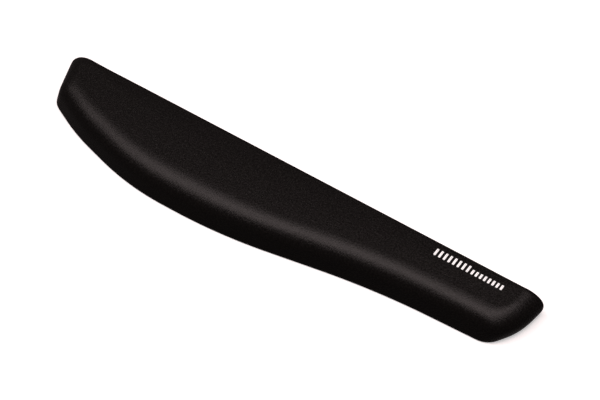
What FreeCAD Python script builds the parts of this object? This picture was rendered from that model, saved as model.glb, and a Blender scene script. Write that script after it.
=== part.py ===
"""Keyboard wrist rest: a foam pad in a one-piece stretch-fabric cover, glued to a non-slip rubber backing.

Millimetres. +X runs along the pad to the user's right, -Y faces the user, +Z is up. The origin is on the
floor, at the middle of the pad's footprint.
"""

import FreeCAD, Part
import math
import os

# Overall height and the stack of layers under the foam, from the floor up.
HEIGHT = 25.4
BACKING_THICKNESS = 1.2
ADHESIVE_THICKNESS = 0.2
FABRIC_THICKNESS = 0.7

# The side of the pad: a leaning wall that rolls over into the flat top.
WALL_LEAN = 12.0
WALL_STEPS = 4
ROLL_RADIUS = 15.5
ROLL_STEPS = 8

# The base, seen from below.
HEM_WIDTH = 9.0
BACKING_MARGIN = 0.6
ADHESIVE_MARGIN = 2.0

# The mark printed on the cover, a plain row of upright bars that starts this far from the left end, on a line
# this far in front of the back edge. Each group gives its bars' length and spacing.
MARK_THICKNESS = 0.1
MARK_START = 368.9
MARK_LINE = 16.5
MARK_BAR_WIDTH = 2.0
MARK_BARS = 8
MARK_GROUPS = ((7.0, 4.3), (5.0, 3.85))

# Corners of the cover's base outline, anticlockwise from above. Each row gives the distance from the left
# end and from the back edge, the corner's radius at the base and at the crest, and then for the side that
# leaves the corner how far in its crest lies and how far it bulges at mid-height. SWEEP rounds a corner as
# far as the shorter of its two sides allows, so that the front is one long sweep. Neighbouring sides that are
# nearly in line need nearly the same inset, because a small difference slides their corner a long way.
SWEEP = 1e6
LONGEST_TANGENT = 0.49
SMALLEST_RADIUS = 2.0
CORNERS = (
    (462.4, 0.0, 3.0, 3.0, 4.0, 0.0),
    (0.0, 0.0, 5.5, 8.5, 17.0, 0.0),
    (13.4, 44.0, 15.5, 18.0, 20.0, 0.0),
    (46.9, 61.0, SWEEP, SWEEP, 22.0, 0.0),
    (114.4, 81.0, SWEEP, SWEEP, 24.5, 0.0),
    (203.9, 81.0, SWEEP, SWEEP, 21.5, 0.0),
    (340.9, 56.5, SWEEP, SWEEP, 21.0, 0.0),
    (442.4, 52.6, 19.5, 16.5, 14.0, 4.4),
    (458.8, 27.7, 58.0, 33.0, 14.0, 4.4),
)

BASE_LEVEL = BACKING_THICKNESS + ADHESIVE_THICKNESS
HEM_TOP = BASE_LEVEL + FABRIC_THICKNESS


def moved_sides(corners, distances):
    """Corners of the polygon whose side after each corner has moved inwards by that corner's distance."""
    moved = []
    for index, corner in enumerate(corners):
        before = corners[index - 1]
        after = corners[(index + 1) % len(corners)]
        arriving = (corner - before).normalize()
        leaving = (after - corner).normalize()
        turn = arriving.x * leaving.y - arriving.y * leaving.x
        inset_arriving = distances[index - 1]
        inset_leaving = distances[index]
        cosine = arriving.dot(leaving)
        along = (inset_leaving - inset_arriving * cosine) / turn
        inward = FreeCAD.Vector(-arriving.y, arriving.x, 0)
        moved.append(corner + inward * inset_arriving - arriving * along)
    return moved


def corner_arc(before, corner, after, radius):
    """Tangent arc that rounds a corner, as far as the shorter of its two sides allows."""
    arriving = corner - before
    leaving = after - corner
    turn = math.atan2(arriving.cross(leaving).z, arriving.dot(leaving))
    half_tangent = math.tan(abs(turn) / 2)
    tangent = min(radius * half_tangent, LONGEST_TANGENT * min(arriving.Length, leaving.Length))
    start = corner - arriving.normalize() * tangent
    towards_centre = FreeCAD.Vector(-arriving.y, arriving.x, 0) * math.copysign(1, turn)
    centre = start + towards_centre * (tangent / half_tangent)
    points = []
    for share in (0, 0.5, 1):
        spin = FreeCAD.Rotation(FreeCAD.Vector(0, 0, 1), math.degrees(turn * share))
        points.append(centre + spin.multVec(start - centre))
    return Part.Arc(*points).toShape()


def rounded(corners, radii):
    """Closed outline of straight sides and tangent corner arcs."""
    arcs = []
    for index, corner in enumerate(corners):
        after = corners[(index + 1) % len(corners)]
        arcs.append(corner_arc(corners[index - 1], corner, after, radii[index]))
    edges = []
    for index, arc in enumerate(arcs):
        side_start = arcs[index - 1].lastVertex().Point
        side_end = arc.firstVertex().Point
        edges.append(Part.LineSegment(side_start, side_end).toShape())
        edges.append(arc)
    return Part.Wire(edges)


def ring(share, bulge, depth, height):
    """Outline round the pad at a height. Share 0 is the base outline and 1 the crest's, bulge is how much of
    the sides' bulge it takes, and depth is how far it lies inside the cover's outer surface."""
    corners = [FreeCAD.Vector(row[0], -row[1], 0) for row in CORNERS]
    distances = [share * row[4] - bulge * row[5] + depth for row in CORNERS]
    radii = [max((1 - share) * row[2] + share * row[3] - depth, SMALLEST_RADIUS) for row in CORNERS]
    wire = rounded(moved_sides(corners, distances), radii)
    wire.translate(FreeCAD.Vector(0, 0, height))
    return wire


def section_ring(inset, height, slope, depth):
    """Ring that lies at a depth under a point of the side's outer section, where slope is the angle of the
    surface from level."""
    bulge = math.sin(math.pi * (height - BASE_LEVEL) / (HEIGHT - BASE_LEVEL))
    return ring(inset / full_inset(), bulge, depth * math.sin(slope), height - depth * math.cos(slope))


def roll_start_height():
    return HEIGHT - ROLL_RADIUS + ROLL_RADIUS * math.sin(math.radians(WALL_LEAN))


def full_inset():
    """How far in the section comes from the base to the crest."""
    lean = math.radians(WALL_LEAN)
    return (roll_start_height() - BASE_LEVEL) * math.tan(lean) + ROLL_RADIUS * math.cos(lean)


def wall_rings(floor, depth):
    """Rings up the leaning wall, from the floor to where it starts to roll over."""
    lean = math.radians(WALL_LEAN)
    lowest = floor + depth * math.sin(lean)
    rings = []
    for step in range(WALL_STEPS + 1):
        height = lowest + (roll_start_height() - lowest) * step / WALL_STEPS
        inset = (height - BASE_LEVEL) * math.tan(lean)
        rings.append(section_ring(inset, height, math.pi / 2 - lean, depth))
    return rings


def roll_rings(depth):
    """Rings up the roll-over, from the top of the wall to the flat top."""
    rings = []
    for step in range(ROLL_STEPS + 1):
        slope = (math.pi / 2 - math.radians(WALL_LEAN)) * (1 - step / ROLL_STEPS)
        inset = full_inset() - ROLL_RADIUS * math.sin(slope)
        height = HEIGHT - ROLL_RADIUS + ROLL_RADIUS * math.cos(slope)
        rings.append(section_ring(inset, height, slope, depth))
    return rings


def padded_body(floor, depth):
    """Solid of the whole pad above the floor, at a depth inside the cover's outer surface."""
    wall = Part.makeLoft(wall_rings(floor, depth), True)
    roll = Part.makeLoft(roll_rings(depth), True)
    return wall.fuse(roll)


def slab(inset, bottom, thickness):
    """Flat plate of the base outline, inset all round."""
    face = Part.Face(ring(0, 0, inset, bottom))
    return face.extrude(FreeCAD.Vector(0, 0, thickness))


def backing_sheet():
    return slab(BACKING_MARGIN, 0, BACKING_THICKNESS)


def base_adhesive():
    return slab(ADHESIVE_MARGIN, BACKING_THICKNESS, ADHESIVE_THICKNESS)


def foam_core():
    """Moulded foam, with a plug that fills the opening inside the turned-under hem."""
    body = padded_body(HEM_TOP, FABRIC_THICKNESS)
    plug = slab(HEM_WIDTH, BASE_LEVEL, FABRIC_THICKNESS)
    return body.fuse(plug).removeSplitter()


def printed_mark():
    """Row of thin bars set flush into the top of the cover."""
    bars = []
    left = MARK_START
    for length, pitch in MARK_GROUPS:
        for _ in range(MARK_BARS):
            corner = FreeCAD.Vector(left, -MARK_LINE, HEIGHT - MARK_THICKNESS)
            bars.append(Part.makeBox(MARK_BAR_WIDTH, length, MARK_THICKNESS, corner))
            left += pitch
    return Part.makeCompound(bars)


def fabric_cover(foam, mark):
    """Skin over the foam with its hem turned under, less the print that lies in its surface."""
    return padded_body(BASE_LEVEL, 0).cut(foam).cut(mark)


def main():
    os.makedirs("parts", exist_ok=True)
    foam = foam_core()
    mark = printed_mark()
    nodes = {
        "backing_sheet": backing_sheet(),
        "base_adhesive": base_adhesive(),
        "foam_core": foam,
        "printed_mark": mark,
        "fabric_cover": fabric_cover(foam, mark),
    }
    middle = nodes["fabric_cover"].optimalBoundingBox(False, False).Center
    for name, shape in nodes.items():
        shape.translate(FreeCAD.Vector(-middle.x, -middle.y, 0))
        shape.exportStep(f"parts/{name}.step")


main()
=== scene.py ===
"""Looks of a keyboard wrist rest: a foam pad in a one-piece stretch-knit cover on a non-slip rubber backing.

Metres, in the part's own frame: +X runs along the pad to the user's right, -Y faces the user and +Z is up.
The outline and the section repeat the part's design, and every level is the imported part's.
"""

import math

import bpy
import numpy as np
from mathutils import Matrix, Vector
from mathutils.bvhtree import BVHTree
from mathutils.kdtree import KDTree


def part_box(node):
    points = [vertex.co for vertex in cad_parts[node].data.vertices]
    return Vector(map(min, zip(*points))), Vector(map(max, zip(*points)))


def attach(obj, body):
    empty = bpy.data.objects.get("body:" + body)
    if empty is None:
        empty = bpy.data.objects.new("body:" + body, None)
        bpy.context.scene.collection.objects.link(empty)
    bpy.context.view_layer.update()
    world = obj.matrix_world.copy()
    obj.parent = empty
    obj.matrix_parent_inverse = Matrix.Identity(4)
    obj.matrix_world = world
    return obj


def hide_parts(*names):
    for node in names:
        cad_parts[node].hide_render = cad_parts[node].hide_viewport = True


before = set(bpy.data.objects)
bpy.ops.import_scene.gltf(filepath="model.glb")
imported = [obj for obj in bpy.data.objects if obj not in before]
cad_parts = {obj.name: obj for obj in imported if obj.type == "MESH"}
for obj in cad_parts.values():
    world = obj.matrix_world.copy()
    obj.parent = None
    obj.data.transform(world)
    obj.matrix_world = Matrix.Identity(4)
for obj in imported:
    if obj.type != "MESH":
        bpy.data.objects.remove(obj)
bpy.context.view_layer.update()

MM = 0.001

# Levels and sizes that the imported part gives.
COVER_LOW, COVER_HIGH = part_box("fabric_cover")
BACKING_LOW, BACKING_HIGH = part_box("backing_sheet")
MARK_LOW, MARK_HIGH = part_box("printed_mark")
BASE_LEVEL = COVER_LOW.z
HEIGHT = COVER_HIGH.z
FABRIC_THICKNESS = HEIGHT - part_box("foam_core")[1].z
BACKING_MARGIN = BACKING_LOW.y - COVER_LOW.y

# Section of the side: a leaning wall that rolls over into the top, and rolls under at the base.
WALL_LEAN = math.radians(12)
WALL_CELLS = 4
ROLL_RADIUS = 15.5 * MM
ROLL_CELLS = 8
EDGE_RADIUS = 0.8 * MM
EDGE_CELLS = 4
HEM_WIDTH = 9 * MM
HEM_CELLS = 3

# Corners of the base outline in millimetres, anticlockwise from above: distance from the left end and from
# the back edge, radius at the base and at the crest, and then for the side that leaves the corner how far in
# its crest lies and how far it bulges at mid-height. SWEEP rounds a corner as far as the shorter of its two
# sides allows.
SWEEP = 1e6
LONGEST_TANGENT = 0.49
SMALLEST_RADIUS = 2 * MM
CORNERS = (
    (462.4, 0.0, 3.0, 3.0, 4.0, 0.0),
    (0.0, 0.0, 5.5, 8.5, 17.0, 0.0),
    (13.4, 44.0, 15.5, 18.0, 20.0, 0.0),
    (46.9, 61.0, SWEEP, SWEEP, 22.0, 0.0),
    (114.4, 81.0, SWEEP, SWEEP, 24.5, 0.0),
    (203.9, 81.0, SWEEP, SWEEP, 21.5, 0.0),
    (340.9, 56.5, SWEEP, SWEEP, 21.0, 0.0),
    (442.4, 52.6, 19.5, 16.5, 14.0, 4.4),
    (458.8, 27.7, 58.0, 33.0, 14.0, 4.4),
)
# The four of those corners between which the back, the left, the front and the right side run.
MAIN_CORNERS = (0, 1, 2, 7)
ARC_POINTS = 41

# Cells along the long and the short sides: the cover's, and the finer ones of the backing's grip. CROWDING,
# from 0 to 1, draws them together towards the ends of a side.
COVER_CELLS = (144, 14)
BACKING_CELLS = (380, 64)
CROWDING = 0.6

# How far the cover swells over the foam from its slack start, the level up to which it is held in place, and
# the simulation that swells it.
TOP_SLACK = 0.5 * MM
SIDE_SLACK = 0.1 * MM
HELD_BELOW = BASE_LEVEL + 2 * EDGE_RADIUS
SWELL_FRAMES = 20
SWELL_PRESSURE = 4
SWELL_POINT_MASS = 0.002

# Underside of the backing: round studs in a recessed field with a plain border.
BACKING_ROUND = 0.4 * MM
GRIP_RELIEF = 0.35 * MM
GRIP_BORDER = 4 * MM
GRIP_PITCH = 9 * MM
STUD_RADIUS = 3 * MM
STUD_SHOULDER = 1.3 * MM
STUD_CLEARANCE = 1 * MM

# The mark printed on the cover: groups of bars, each with its bars' length and spacing.
MARK_BARS = 8
MARK_BAR_WIDTH = 2 * MM
MARK_GROUPS = ((7 * MM, 4.3 * MM), (5 * MM, 3.85 * MM))
MARK_ROUND = 0.6 * MM
INK_THICKNESS = 0.06 * MM

# Gap between the foam and the cover, all over.
CLEARANCE = 0.03 * MM


# ---- outline ----


def unit(vectors):
    return vectors / np.linalg.norm(vectors, axis=-1, keepdims=True)


def cross(first, second):
    return first[..., 0] * second[..., 1] - first[..., 1] * second[..., 0]


def moved_corners(corners, distances):
    """Corners of the polygon whose side after each corner has moved inwards by that corner's distance."""
    arriving = unit(corners - np.roll(corners, 1, axis=0))
    leaving = np.roll(arriving, -1, axis=0)
    before = np.roll(distances, 1)
    cosine = (arriving * leaving).sum(axis=1)
    along = (distances - before * cosine) / cross(arriving, leaving)
    inward = np.stack((-arriving[:, 1], arriving[:, 0]), axis=1)
    return corners + inward * before[:, None] - arriving * along[:, None]


def corner_arc(before, corner, after, radius):
    """Points of the tangent arc that rounds a corner, as far as the shorter of its two sides allows."""
    arriving, leaving = corner - before, after - corner
    turn = math.atan2(cross(arriving, leaving), arriving @ leaving)
    half_tangent = math.tan(abs(turn) / 2)
    shorter = min(np.linalg.norm(arriving), np.linalg.norm(leaving))
    tangent = min(radius * half_tangent, LONGEST_TANGENT * shorter)
    start = corner - unit(arriving) * tangent
    normal = unit(np.array((-arriving[1], arriving[0]))) * math.copysign(1, turn)
    centre = start + normal * (tangent / half_tangent)
    angles = turn * np.linspace(0, 1, ARC_POINTS)
    spoke = start - centre
    across = np.array((-spoke[1], spoke[0]))
    return centre + np.outer(np.cos(angles), spoke) + np.outer(np.sin(angles), across)


def rounded(corners, radii):
    """Closed outline of straight sides and tangent corner arcs, as one run of points per corner."""
    arcs = []
    for index, corner in enumerate(corners):
        after = corners[(index + 1) % len(corners)]
        arcs.append(corner_arc(corners[index - 1], corner, after, radii[index]))
    return np.array(arcs)


def outline(share, bulge, depth):
    """Outline round the pad in the table's place. Share 0 is the base outline and 1 the crest's, bulge is how
    much of the sides' bulge it takes, and depth is how far it lies inside the cover's outer surface."""
    table = np.array(CORNERS) * MM
    distances = share * table[:, 4] - bulge * table[:, 5] + depth
    radii = np.maximum((1 - share) * table[:, 2] + share * table[:, 3] - depth, SMALLEST_RADIUS)
    return rounded(moved_corners(table[:, :2] * (1, -1), distances), radii).reshape(-1, 2)


def crowded(cells):
    """Positions from 0 to 1 along a side, closer together towards its two ends."""
    even = np.arange(cells) / cells
    return even - CROWDING * np.sin(2 * math.pi * even) / (2 * math.pi)


def ring(share, bulge, depth, height, cells):
    """Points round the pad at a height, with the same number on each side whatever the outline's size."""
    points = outline(share, bulge, depth) + PLACE
    middles = [corner * ARC_POINTS + ARC_POINTS // 2 for corner in MAIN_CORNERS]
    sides = []
    for index, first in enumerate(middles):
        last = middles[(index + 1) % len(middles)]
        if last < first:
            last += len(points)
        run = points[np.arange(first, last + 1) % len(points)]
        lengths = np.append(0, np.cumsum(np.linalg.norm(np.diff(run, axis=0), axis=1)))
        wanted = crowded(cells[index % 2]) * lengths[-1]
        sides.append(np.stack([np.interp(wanted, lengths, run[:, axis]) for axis in (0, 1)], axis=1))
    flat = np.concatenate(sides)
    return np.column_stack((flat, np.full(len(flat), height)))


# ---- section ----


def wall_inset(height):
    return (height - BASE_LEVEL) * math.tan(WALL_LEAN)


def section():
    """Rows from the crest down the side to the inner edge of the hem. Each row has the share, the bulge, the
    depth and the height of a ring, and the slope of the surface there."""
    roll_centre = HEIGHT - ROLL_RADIUS
    roll_start = roll_centre + ROLL_RADIUS * math.sin(WALL_LEAN)
    full_inset = wall_inset(roll_start) + ROLL_RADIUS * math.cos(WALL_LEAN)
    steepest = math.pi / 2 - WALL_LEAN
    rows = []

    def add_row(inset, depth, height, slope):
        bulge = math.sin(math.pi * (height - BASE_LEVEL) / (HEIGHT - BASE_LEVEL))
        rows.append((inset / full_inset, bulge, depth, height, slope))

    for slope in np.linspace(0, steepest, ROLL_CELLS + 1):
        inset = full_inset - ROLL_RADIUS * math.sin(slope)
        add_row(inset, 0, roll_centre + ROLL_RADIUS * math.cos(slope), slope)
    edge_start = BASE_LEVEL + EDGE_RADIUS * (1 + math.sin(WALL_LEAN))
    for height in np.linspace(roll_start, edge_start, WALL_CELLS + 1)[1:-1]:
        add_row(wall_inset(height), 0, height, steepest)
    edge_inset = EDGE_RADIUS * (math.tan(WALL_LEAN) + 1 / math.cos(WALL_LEAN))
    for slope in np.linspace(steepest, math.pi, EDGE_CELLS + 1):
        height = BASE_LEVEL + EDGE_RADIUS * (1 + math.cos(slope))
        inset = wall_inset(height)
        add_row(inset, edge_inset - EDGE_RADIUS * math.sin(slope) - inset, height, slope)
    for depth in np.linspace(edge_inset, HEM_WIDTH, HEM_CELLS + 1)[1:]:
        add_row(0, depth, BASE_LEVEL, math.pi)
    return rows


def place_of_table():
    """What moves the table's place to the part's, so that the rings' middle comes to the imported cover's."""
    points = np.concatenate([outline(share, bulge, depth) for share, bulge, depth, _, _ in section()])
    middle = (np.array(COVER_LOW) + np.array(COVER_HIGH))[:2] / 2
    return middle - (points.min(axis=0) + points.max(axis=0)) / 2


def slack_ring(share, bulge, depth, height, slope):
    """Ring of the cover before it swells: lower on top and further in at the sides, but not at the base."""
    slack = min(1, max(0, (height - HELD_BELOW) / (HEIGHT / 2)))
    lowered = height - slack * TOP_SLACK * max(0, math.cos(slope))
    return ring(share, bulge, depth + slack * SIDE_SLACK * math.sin(slope), lowered, COVER_CELLS)


# ---- meshes ----


def filled(edge, cells):
    """Points of the grid that fills a ring, blended from its four sides."""
    along, across = cells
    points = np.empty((along + 1, across + 1, 3))
    numbers = grid_numbers(np.arange(len(edge)), 0, cells)
    border = np.ones((along + 1, across + 1), bool)
    border[1:-1, 1:-1] = False
    points[border] = edge[numbers[border]]
    u = np.linspace(0, 1, along + 1)[:, None, None]
    v = np.linspace(0, 1, across + 1)[None, :, None]
    by_ends = (1 - u) * points[:1] + u * points[-1:]
    by_sides = (1 - v) * points[:, :1] + v * points[:, -1:]
    by_corners = (1 - v) * by_ends[:, :1] + v * by_ends[:, -1:]
    return (by_ends + by_sides - by_corners)[1:-1, 1:-1].reshape(-1, 3)


def grid_numbers(edge, first_inside, cells):
    """Vertex numbers of the grid that fills a ring, given the ring's numbers and the first one inside it."""
    along, across = cells
    numbers = np.empty((along + 1, across + 1), int)
    closed = np.append(edge, edge[0])
    numbers[::-1, -1] = closed[: along + 1]
    numbers[0, ::-1] = closed[along : along + across + 1]
    numbers[:, 0] = closed[along + across : 2 * along + across + 1]
    numbers[-1, :] = closed[2 * along + across :]
    inside = np.arange((along - 1) * (across - 1)).reshape(along - 1, across - 1)
    numbers[1:-1, 1:-1] = first_inside + inside
    return numbers


def grid_faces(numbers):
    corners = (numbers[:-1, :-1], numbers[1:, :-1], numbers[1:, 1:], numbers[:-1, 1:])
    return np.stack(corners, axis=-1).reshape(-1, 4)


def skin(rings, top, bottom, cells):
    """Points and faces of a surface that runs from the top filling out and down through the rings to the
    bottom filling, which is left out where it is None."""
    count = rings.shape[1]
    numbers = np.arange(rings.shape[0] * count).reshape(-1, count)
    following = np.roll(numbers, -1, axis=1)
    strips = np.stack((numbers[:-1], numbers[1:], following[1:], following[:-1]), axis=-1).reshape(-1, 4)
    points = [rings.reshape(-1, 3), top]
    faces = [strips, grid_faces(grid_numbers(numbers[0], numbers.size, cells))]
    if bottom is not None:
        points.append(bottom)
        faces.append(grid_faces(grid_numbers(numbers[-1], numbers.size + len(top), cells))[:, ::-1])
    return np.concatenate(points), np.concatenate(faces)


def in_scene(name, data):
    thing = bpy.data.objects.new(name, data)
    bpy.context.scene.collection.objects.link(thing)
    return thing


def mesh_object(name, points, faces):
    mesh = bpy.data.meshes.new(name)
    mesh.from_pydata([tuple(point) for point in points], [], [tuple(face) for face in faces])
    mesh.shade_smooth()
    return in_scene(name, mesh)


def read_points(mesh, attribute="vertices", field="co"):
    values = np.empty(len(getattr(mesh, attribute)) * 3)
    getattr(mesh, attribute).foreach_get(field, values)
    return values.reshape(-1, 3)


def evaluated_points(thing):
    depsgraph = bpy.context.evaluated_depsgraph_get()
    return read_points(thing.evaluated_get(depsgraph).data)


# ---- cover ----


def swollen(points, faces, held):
    """The points after the cover has been blown up by cloth simulation, held where it is glued down, with its
    movement scaled so that the furthest point moves by the slack of the top."""
    balloon = mesh_object("balloon", points, faces)
    group = balloon.vertex_groups.new(name="held")
    group.add(np.nonzero(held)[0].tolist(), 1, "REPLACE")
    cloth = balloon.modifiers.new("swell", "CLOTH")
    cloth.settings.vertex_group_mass = group.name
    cloth.settings.use_pressure = True
    cloth.settings.uniform_pressure_force = SWELL_PRESSURE
    cloth.settings.mass = SWELL_POINT_MASS
    cloth.settings.effector_weights.gravity = 0
    cloth.point_cache.frame_end = SWELL_FRAMES
    for number in range(1, SWELL_FRAMES + 1):
        bpy.context.scene.frame_set(number)
    moved = evaluated_points(balloon) - points
    bpy.context.scene.frame_set(1)
    bpy.data.objects.remove(balloon)
    return points + moved * (TOP_SLACK / np.linalg.norm(moved, axis=1).max())


def flattened(rings, top):
    """Where each point of the cover lies on the flat knit before it is stretched over the sides."""
    steps = np.linalg.norm(np.diff(rings, axis=0), axis=2)
    reach = np.concatenate((np.zeros((1, rings.shape[1])), np.cumsum(steps, axis=0)))
    outward = unit(rings[ROLL_CELLS, :, :2] - rings[0, :, :2])
    flat = rings[0, :, :2] + outward * reach[..., None]
    return np.concatenate((flat.reshape(-1, 2), top[:, :2]))


def set_cloth_map(mesh, flat):
    layer = mesh.uv_layers.new(name="cloth")
    corners = np.empty(len(mesh.loops), int)
    mesh.loops.foreach_get("vertex_index", corners)
    layer.uv.foreach_set("vector", flat[corners].astype(np.float32).ravel())


def smoothed(thing):
    smooth = thing.modifiers.new("smooth", "SUBSURF")
    smooth.levels = 1
    smooth.render_levels = 1


def cover_surface():
    """Rings and top filling of the cover's outer surface, swollen over the foam."""
    rings = np.array([slack_ring(*row) for row in section()])
    top = filled(rings[0], COVER_CELLS)
    points, faces = skin(rings, top, filled(rings[-1], COVER_CELLS), COVER_CELLS)
    held = points[:, 2] < HELD_BELOW
    flat = flattened(rings, top)
    points = swollen(points, faces, held)
    count = rings.shape[0] * rings.shape[1]
    return points[:count].reshape(rings.shape), points[count : count + len(top)], flat


def knit_cover(rings, top, flat):
    """Fabric shell with its hem turned under."""
    cover = mesh_object("knit_cover", *skin(rings, top, None, COVER_CELLS))
    set_cloth_map(cover.data, flat)
    shell = cover.modifiers.new("thickness", "SOLIDIFY")
    shell.thickness = FABRIC_THICKNESS
    shell.offset = -1
    smoothed(cover)
    placed(cover, "fabric_cover", stretch_knit())
    return cover


def placed(piece, node, material):
    """Gives a piece its material and its body, and hides the CAD node that it stands for."""
    piece.data.materials.append(material)
    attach(piece, "root")
    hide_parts(node)


# ---- foam ----


def foam_block(cover, rings, top):
    """Foam that fills the cover, with a plug in the opening inside the hem."""
    normals = read_points(cover.data, "vertex_normals", "vector")
    depth = FABRIC_THICKNESS + CLEARANCE
    points = np.concatenate((rings.reshape(-1, 3), top)) - normals * depth
    count = rings.shape[0] * rings.shape[1]
    sides = points[:count].reshape(rings.shape)[:-HEM_CELLS]
    plug_levels = (BASE_LEVEL + depth, BASE_LEVEL)
    plug = [ring(0, 0, HEM_WIDTH + CLEARANCE, level, COVER_CELLS) for level in plug_levels]
    around = np.concatenate((sides, plug))
    bottom = filled(around[-1], COVER_CELLS)
    foam = mesh_object("foam_block", *skin(around, points[count:], bottom, COVER_CELLS))
    smoothed(foam)
    placed(foam, "foam_core", open_cell_foam())


# ---- backing ----


def nearest(centres):
    tree = KDTree(len(centres))
    for number, centre in enumerate(centres):
        tree.insert((centre[0], centre[1], 0), number)
    tree.balance()
    return lambda point: tree.find((point[0], point[1], 0))[2]


def stud_centres(field):
    """Staggered places for the studs, clear of the field's edge."""
    from_edge = nearest(field)
    low, high = field.min(axis=0), field.max(axis=0)
    centres = []
    for row, y in enumerate(np.arange(low[1], high[1], GRIP_PITCH * math.sqrt(3) / 2)):
        for x in np.arange(low[0] + row % 2 * GRIP_PITCH / 2, high[0], GRIP_PITCH):
            centres.append((x, y))
    inside = BVHTree.FromPolygons([(*point[:2], 0) for point in field], [range(len(field))])
    kept = []
    for centre in centres:
        over_field = inside.ray_cast(Vector((*centre, 1)), Vector((0, 0, -1)))[0] is not None
        if over_field and from_edge(centre) > STUD_RADIUS + STUD_CLEARANCE:
            kept.append(centre)
    return kept


def studded(points, centres):
    """The field's points, pushed down to the floor under each stud."""
    from_stud = nearest(centres)
    away = np.array([from_stud(point) for point in points])
    rise = np.clip((away - STUD_RADIUS + STUD_SHOULDER) / STUD_SHOULDER, 0, 1)
    heights = GRIP_RELIEF * rise * rise * (3 - 2 * rise)
    return np.column_stack((points[:, :2], heights))


def rubber_backing():
    """Rubber sheet with softened edges, and studs in a recessed field underneath."""
    bevel_middle = 0.3 * BACKING_ROUND
    profile = (
        (BACKING_ROUND, BACKING_HIGH.z),
        (0, BACKING_HIGH.z - BACKING_ROUND),
        (0, BACKING_ROUND),
        (bevel_middle, bevel_middle),
        (BACKING_ROUND, 0),
        (GRIP_BORDER, 0),
        (GRIP_BORDER + 2 * GRIP_RELIEF, GRIP_RELIEF),
    )
    rings = [ring(0, 0, BACKING_MARGIN + depth, level, BACKING_CELLS) for depth, level in profile]
    rings = np.array(rings)
    bottom = studded(filled(rings[-1], BACKING_CELLS), stud_centres(rings[-1]))
    points, faces = skin(rings, filled(rings[0], BACKING_CELLS), bottom, BACKING_CELLS)
    backing = mesh_object("rubber_backing", points, faces)
    placed(backing, "backing_sheet", grip_rubber())


# ---- print ----


def printed_bars(cover):
    """Bars of ink that lie on the cover's crowned top."""
    top = BVHTree.FromObject(cover, bpy.context.evaluated_depsgraph_get())
    points, faces = [], []
    left = MARK_LOW.x
    for length, pitch in MARK_GROUPS:
        for _ in range(MARK_BARS):
            add_bar(points, faces, left, length, top)
            left += pitch
    mark = mesh_object("ink_bars", points, faces)
    placed(mark, "printed_mark", white_ink())


def add_bar(points, faces, left, length, top):
    """One bar with rounded corners: its upper face, its sides and its lower face."""
    low, high = MARK_LOW.y, MARK_LOW.y + length
    right = left + MARK_BAR_WIDTH
    corners = np.array(((right, high), (left, high), (left, low), (right, low)))
    edge = rounded(corners, [MARK_ROUND] * len(corners))[:, :: ARC_POINTS // 4].reshape(-1, 2)
    first, count = len(points), len(edge)
    for lift in (INK_THICKNESS, 0):
        for x, y in edge:
            surface = top.ray_cast(Vector((x, y, 2 * HEIGHT)), Vector((0, 0, -1)))[0]
            points.append((x, y, surface.z + lift))
    faces.append([first + number for number in range(count)])
    faces.append([first + count + number for number in reversed(range(count))])
    for number in range(count):
        after = (number + 1) % count
        faces.append([first + number, first + count + number, first + count + after, first + after])


# ---- materials ----

# Scale at which a wave texture's bands lie one unit apart.
ONE_BAND = 0.314


class Material:
    """A new node material, with short calls to add nodes and to link them."""

    def __init__(self, name):
        self.material = bpy.data.materials.new(name)
        self.material.use_nodes = True
        self.tree = self.material.node_tree
        self.shader = self.tree.nodes["Principled BSDF"]

    def add(self, kind, inputs=None, **settings):
        """Adds a node. An input's value is a number, a colour or the output that feeds it."""
        node = self.tree.nodes.new("ShaderNode" + kind)
        for key, value in settings.items():
            setattr(node, key, value)
        self.feed(node, inputs or {})
        return node

    def feed(self, node, inputs):
        for key, value in inputs.items():
            if isinstance(value, bpy.types.NodeSocket):
                self.tree.links.new(value, node.inputs[key])
            else:
                node.inputs[key].default_value = value

    def scaled(self, vector, pitch):
        """The vector counted in steps of pitch along each axis."""
        sizes = (1 / pitch, 1 / pitch, 1 / pitch)
        return self.add("VectorMath", {0: vector, 1: sizes}, operation="MULTIPLY").outputs[0]

    def noise(self, vector, pitch, detail=2, roughness=0.5):
        inputs = {"Vector": self.scaled(vector, pitch), "Scale": 1, "Detail": detail, "Roughness": roughness}
        return self.add("TexNoise", inputs).outputs["Fac"]

    def bands(self, vector, pitch, direction, distortion=0):
        """Soft bands across an axis, one to each step of pitch."""
        inputs = {"Vector": self.scaled(vector, pitch), "Scale": ONE_BAND, "Distortion": distortion}
        return self.add("TexWave", inputs, bands_direction=direction).outputs["Fac"]

    def ranged(self, value, low, high, start=0.3, end=0.7):
        """The value spread so that start becomes low and end becomes high."""
        inputs = {"Value": value, "From Min": start, "From Max": end, "To Min": low, "To Max": high}
        return self.add("MapRange", inputs).outputs[0]

    def maths(self, operation, first, second):
        return self.add("Math", {0: first, 1: second}, operation=operation).outputs[0]

    def tinted(self, colour, factor):
        """The colour, made lighter or darker by the factor."""
        return self.add("VectorMath", {0: colour, "Scale": factor}, operation="SCALE").outputs[0]

    def bump(self, height, distance):
        return self.add("Bump", {"Height": height, "Distance": distance, "Strength": 1}).outputs[0]


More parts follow.
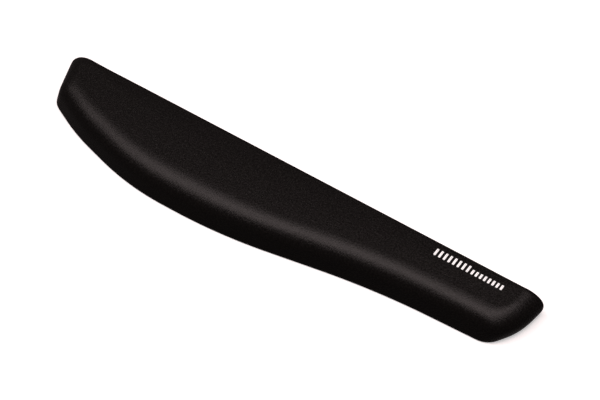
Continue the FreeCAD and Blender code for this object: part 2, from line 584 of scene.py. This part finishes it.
def stretch_knit():
    """Fine black jersey: rows of small stitches under a mottled, softly shining surface."""
    knit = Material("stretch_knit")
    flat = knit.add("UVMap", uv_map="cloth").outputs[0]
    grain = knit.noise(flat, 1.8 * MM, detail=3, roughness=0.65)
    cloudy = knit.noise(flat, 22 * MM)
    wales = knit.bands(flat, 0.9 * MM, "X", distortion=0.6)
    courses = knit.bands(flat, 1.1 * MM, "Y", distortion=0.6)
    stitches = knit.maths("MULTIPLY", wales, courses)
    shade = knit.maths("MULTIPLY", knit.ranged(grain, 0.4, 1.6), knit.ranged(cloudy, 0.94, 1.06))
    height = knit.maths("ADD", knit.maths("MULTIPLY", stitches, 0.35), grain)
    knit.feed(
        knit.shader,
        {
            "Base Color": knit.tinted((0.0042, 0.0037, 0.0034), shade),
            "Roughness": knit.ranged(grain, 0.22, 0.32),
            "Specular IOR Level": 0.2,
            "Normal": knit.bump(height, 0.2 * MM),
        },
    )
    return knit.material


def open_cell_foam():
    """Dark grey foam with round open cells of mixed sizes, each cell painted darker towards its sunken middle
    as shade.
    """
    foam = Material("open_cell_foam")
    place = foam.add("TexCoord").outputs["Object"]
    cells = foam.add("TexVoronoi", {"Vector": foam.scaled(place, 1.1 * MM), "Scale": 1}).outputs["Distance"]
    cloudy = foam.noise(place, 9 * MM, detail=3)
    # Painted shade: the colour darkens towards each cell's sunken middle, where the bump makes its pit.
    pore_painted_shade = foam.ranged(cells, 0.6, 1.25, start=0, end=0.8)
    shade = foam.maths("MULTIPLY", pore_painted_shade, foam.ranged(cloudy, 0.88, 1.12))
    foam.feed(
        foam.shader,
        {
            "Base Color": foam.tinted((0.045, 0.045, 0.048), shade),
            "Roughness": foam.ranged(cloudy, 0.86, 0.97),
            "Specular IOR Level": 0.2,
            "Normal": foam.bump(cells, 0.25 * MM),
        },
    )
    return foam.material


def hot_melt_film():
    """Thin yellowish film of adhesive, streaked along the pad where it was spread."""
    film = Material("hot_melt_film")
    place = film.add("TexCoord").outputs["Object"]
    squeezed_along = (0.12, 1, 1)
    drawn = film.add("VectorMath", {0: place, 1: squeezed_along}, operation="MULTIPLY").outputs[0]
    streaks = film.noise(drawn, 2.5 * MM, detail=3)
    film.feed(
        film.shader,
        {
            "Base Color": film.tinted((0.62, 0.57, 0.42), film.ranged(streaks, 0.82, 1.1)),
            "Roughness": film.ranged(streaks, 0.3, 0.5),
            "Specular IOR Level": 0.45,
            "Normal": film.bump(streaks, 0.08 * MM),
        },
    )
    return film.material


def grip_rubber():
    """Matt black rubber with a fine waffle grain and a dusty bloom."""
    rubber = Material("grip_rubber")
    place = rubber.add("TexCoord").outputs["Object"]
    bloom = rubber.noise(place, 14 * MM, detail=4, roughness=0.6)
    specks = rubber.noise(place, 0.8 * MM)
    across = rubber.bands(place, 1.6 * MM, "X")
    along = rubber.bands(place, 1.6 * MM, "Y")
    waffle = rubber.maths("MAXIMUM", across, along)
    height = rubber.maths("ADD", waffle, specks)
    rubber.feed(
        rubber.shader,
        {
            "Base Color": rubber.tinted((0.01, 0.01, 0.0105), rubber.ranged(bloom, 0.8, 1.45)),
            "Roughness": rubber.ranged(bloom, 0.62, 0.8),
            "Specular IOR Level": 0.4,
            "Normal": rubber.bump(height, 0.08 * MM),
        },
    )
    return rubber.material


def white_ink():
    """Bright white screen print, a little thin where the knit shows through, with a faint painted glow that
    keeps it bright.
    """
    ink = Material("white_ink")
    place = ink.add("TexCoord").outputs["Object"]
    knit = ink.noise(place, 0.6 * MM, detail=3, roughness=0.6)
    ink.feed(
        ink.shader,
        {
            "Base Color": ink.tinted((0.88, 0.88, 0.88), ink.ranged(knit, 0.86, 1.06)),
            "Roughness": ink.ranged(knit, 0.5, 0.65),
            "Specular IOR Level": 0.4,
            # Painted light: the print glows a little, though it is no lamp.
            "Emission Color": (1, 1, 1, 1),
            "Emission Strength": 0.35,
            "Normal": ink.bump(knit, 0.03 * MM),
        },
    )
    return ink.material


def pale_floor():
    """Nearly white floor that glows a little, so that it stays even."""
    pale = Material("pale_floor")
    place = pale.add("TexCoord").outputs["Object"]
    cloudy = pale.noise(place, 0.8)
    pale.feed(
        pale.shader,
        {
            "Base Color": pale.tinted((0.9, 0.9, 0.9), pale.ranged(cloudy, 0.99, 1.01)),
            "Roughness": 0.9,
            "Specular IOR Level": 0.1,
            "Emission Color": (1, 1, 1, 1),
            "Emission Strength": 0.45,
        },
    )
    return pale.material


def build_pad():
    """All the pieces, and the finish of the one CAD node that shows as it is."""
    rings, top, flat = cover_surface()
    cover = knit_cover(rings, top, flat)
    foam_block(cover, rings, top)
    rubber_backing()
    printed_bars(cover)
    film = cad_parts["base_adhesive"]
    film.data.materials.clear()
    film.data.materials.append(hot_melt_film())


# ---- floor, lights and camera ----

# The floor lies just under the studs. The camera's target is on it, and its azimuth is counted from straight
# in front of the pad.
FLOOR_HALF = 20
FLOOR_DROP = 0.05 * MM
VIEW_TARGET = Vector((6.96 * MM, 26.52 * MM, 0))
VIEW_AZIMUTH = math.radians(33.63)
VIEW_ELEVATION = math.radians(52.77)
VIEW_DISTANCE = 2.3407
SENSOR_MM = 36
FOCAL_IN_WIDTHS = 4.771

# Softboxes that face straight down, all at one height. Each row gives a softbox's place, size and power in
# watts.
LAMP_HEIGHT = 3
LAMPS = (
    ((-1.0, -0.5), (3.6, 1.8), 80),
    ((0.9, 0.6), (1.2, 1.6), 30),
    ((-2.8, 2.0), (1.2, 1.2), 2),
)
LAMP_COLOUR = (1, 0.85, 0.84)
WORLD_COLOUR = (0.1, 0.086, 0.085, 1)


def lay_floor():
    """Pale floor that neither lights the dark pad nor shows in its sheen."""
    signs = ((-1, -1), (1, -1), (1, 1), (-1, 1))
    corners = [(x * FLOOR_HALF, y * FLOOR_HALF, -FLOOR_DROP) for x, y in signs]
    mesh = bpy.data.meshes.new("floor")
    mesh.from_pydata(corners, [], [range(4)])
    mesh.materials.append(pale_floor())
    floor = in_scene("floor", mesh)
    floor.visible_diffuse = False
    floor.visible_glossy = False


def hang_lamps():
    """Softboxes over the pad, and a dim warm surround."""
    for number, (place, size, power) in enumerate(LAMPS):
        light = bpy.data.lights.new(f"softbox_{number}", "AREA")
        light.shape = "RECTANGLE"
        light.size, light.size_y = size
        light.energy = power
        light.color = LAMP_COLOUR
        in_scene(light.name, light).location = (*place, LAMP_HEIGHT)
    world = bpy.data.worlds.new("studio")
    world.use_nodes = True
    world.node_tree.nodes["Background"].inputs[0].default_value = WORLD_COLOUR
    bpy.context.scene.world = world


def place_camera():
    """Camera that looks at the target, and the plain view transform."""
    camera = in_scene("camera", bpy.data.cameras.new("camera"))
    level = math.cos(VIEW_ELEVATION)
    right, front = math.sin(VIEW_AZIMUTH) * level, math.cos(VIEW_AZIMUTH) * level
    away = Vector((right, -front, math.sin(VIEW_ELEVATION)))
    camera.location = VIEW_TARGET + away * VIEW_DISTANCE
    camera.rotation_euler = away.to_track_quat("Z", "Y").to_euler()
    camera.data.sensor_width = SENSOR_MM
    camera.data.lens = FOCAL_IN_WIDTHS * SENSOR_MM
    bpy.context.scene.camera = camera
    bpy.context.scene.view_settings.view_transform = "Standard"


PLACE = place_of_table()
build_pad()
lay_floor()
hang_lamps()
place_camera()
